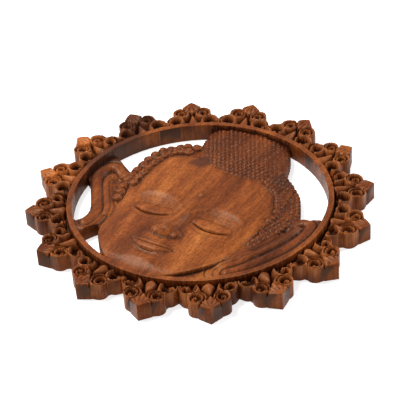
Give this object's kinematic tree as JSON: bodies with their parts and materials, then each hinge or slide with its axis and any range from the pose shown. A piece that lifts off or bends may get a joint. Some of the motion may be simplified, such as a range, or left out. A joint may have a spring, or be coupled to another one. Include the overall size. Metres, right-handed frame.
{
  "type": "round carved wood buddha relief panel",
  "caption": "Round pierced wood relief: a calm buddha head with curled hair and long ears inside a plain ring, with leaf and scroll ornaments around it.",
  "frame": {"origin": "centre of the ring on the flat back, which the panel lies on", "axes": "+Z out of the carved face, +Y towards the top of the head, +X to the right as one looks at the face"},
  "size_m": [0.3924, 0.3924, 0.0297],
  "materials": {
    "suar_wood": "oiled and waxed reddish brown tropical hardwood with dark heartwood streaks, satin"
  },
  "bodies": {
    "root": {"carved_panel": "suar_wood"}
  },
  "joints": []
}
